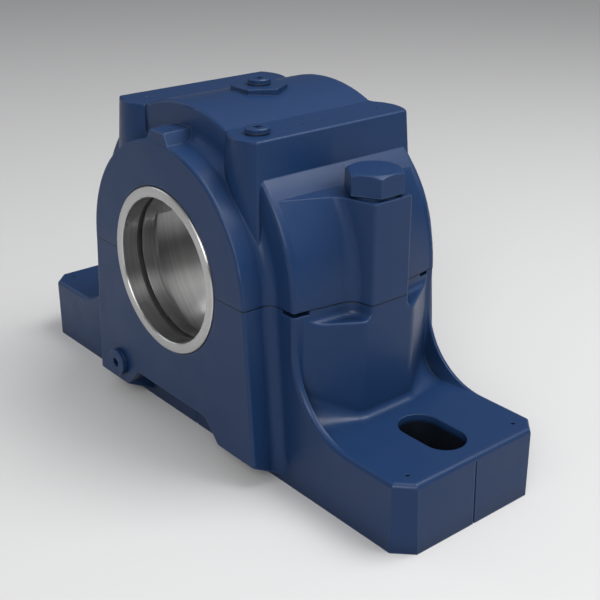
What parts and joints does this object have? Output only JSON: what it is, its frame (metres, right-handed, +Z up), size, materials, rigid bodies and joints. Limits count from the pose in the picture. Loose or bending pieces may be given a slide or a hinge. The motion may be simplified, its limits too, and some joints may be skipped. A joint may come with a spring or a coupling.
{
  "type": "split plummer block housing",
  "caption": "Split bearing housing on a long slotted foot: a bolted cap over a cast base, lubrication and drain plugs, and a labyrinth ring in each end for the shaft.",
  "frame": {"origin": "middle of the bottom face of the foot, which is the bottom centre of the bounding box", "axes": "+X along the foot, +Y along the shaft from the front end face to the back, +Z up"},
  "size_m": [0.38, 0.157, 0.218],
  "materials": {
    "casting_paint": "satin dark blue paint over cast iron",
    "fastener_paint": "satin dark blue paint over steel",
    "turned_steel": "fine turned, bare",
    "ground_steel": "ground, bare",
    "cord_rubber": "matte black",
    "seal_rubber": "matte black"
  },
  "bodies": {
    "housing": {"base": "casting_paint", "cap": "casting_paint", "cap_bolt_right": "fastener_paint", "cap_bolt_left": "fastener_paint", "locating_pin_right": "ground_steel", "locating_pin_left": "ground_steel", "top_plug": "fastener_paint", "top_plug_seal": "seal_rubber", "side_plug": "fastener_paint", "side_plug_seal": "seal_rubber", "drain_plug_front": "fastener_paint", "drain_plug_front_seal": "seal_rubber", "drain_plug_back": "fastener_paint", "drain_plug_back_seal": "seal_rubber"},
    "ring_front": {"labyrinth_ring_front": "turned_steel", "ring_cord_front": "cord_rubber"},
    "ring_back": {"labyrinth_ring_back": "turned_steel", "ring_cord_back": "cord_rubber"}
  },
  "joints": [
    {"name": "ring_front_turn", "type": "hinge", "parent": "housing", "child": "ring_front", "pos_m": [0, -0.06375, 0.112], "axis": [0, 1, 0], "continuous": true},
    {"name": "ring_back_turn", "type": "hinge", "parent": "housing", "child": "ring_back", "pos_m": [0, 0.06375, 0.112], "axis": [0, 1, 0], "continuous": true}
  ]
}
